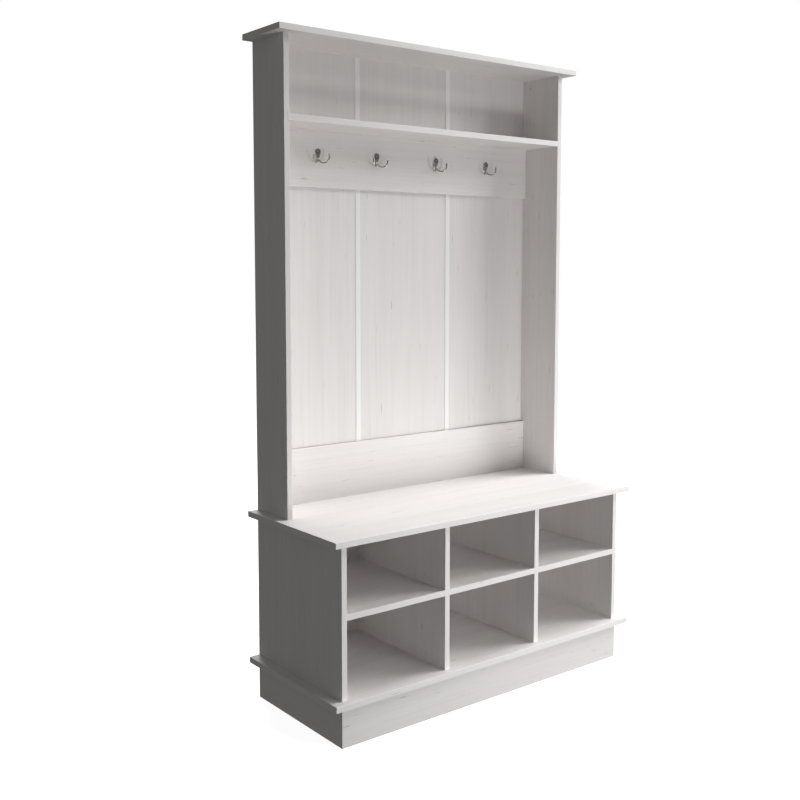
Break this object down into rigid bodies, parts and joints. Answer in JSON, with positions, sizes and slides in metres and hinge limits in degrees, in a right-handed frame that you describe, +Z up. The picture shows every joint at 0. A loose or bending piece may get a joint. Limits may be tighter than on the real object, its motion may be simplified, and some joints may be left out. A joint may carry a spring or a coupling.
{
  "type": "hall tree",
  "caption": "Free-standing hall tree: a shoe cabinet with open cubbies and a bench top, under a shallow hutch with coat hooks and a hat shelf.",
  "frame": {"origin": "on the floor, at the centre of the bounding box in plan", "axes": "+Z up, +Y to the rear, +X to the right of someone facing the hall tree"},
  "size_m": [1.092, 0.4322, 1.83],
  "materials": {
    "woodgrain_laminate": "matte white-washed woodgrain paper laminate",
    "back_panel": "matte white-washed woodgrain paper on thin hardboard",
    "white_plastic": "smooth white",
    "nickel_plate": "polished nickel plate",
    "zinc_alloy": "as-cast zinc alloy",
    "zinc_plated_steel": "bright zinc plate",
    "beech": "unfinished turned beech"
  },
  "bodies": {
    "root": {"plinth_front": "woodgrain_laminate", "plinth_rear": "woodgrain_laminate", "plinth_side_left": "woodgrain_laminate", "plinth_side_right": "woodgrain_laminate", "plinth_brace": "woodgrain_laminate", "base_plate": "woodgrain_laminate", "bench_top": "woodgrain_laminate", "cabinet_side_left": "woodgrain_laminate", "cabinet_divider_left": "woodgrain_laminate", "cabinet_divider_right": "woodgrain_laminate", "cabinet_side_right": "woodgrain_laminate", "cubby_shelf_left": "woodgrain_laminate", "cubby_shelf_middle": "woodgrain_laminate", "cubby_shelf_right": "woodgrain_laminate", "hutch_side_left": "woodgrain_laminate", "hutch_side_right": "woodgrain_laminate", "hat_shelf": "woodgrain_laminate", "hook_rail": "woodgrain_laminate", "lower_rail": "woodgrain_laminate", "top_board": "woodgrain_laminate", "cabinet_back_panel": "back_panel", "hutch_back_panel_left": "back_panel", "hutch_back_panel_middle": "back_panel", "hutch_back_panel_right": "back_panel", "back_joint_strip_left": "white_plastic", "back_joint_strip_right": "white_plastic", "coat_hook_1": "nickel_plate", "coat_hook_2": "nickel_plate", "coat_hook_3": "nickel_plate", "coat_hook_4": "nickel_plate", "hook_screws": "nickel_plate", "hutch_screws": "zinc_plated_steel", "cam_locks": "zinc_alloy", "cam_bolts": "zinc_plated_steel", "back_panel_nails": "zinc_plated_steel", "wood_dowels": "beech", "shelf_dowels": "beech", "rail_dowels": "beech"}
  },
  "joints": []
}
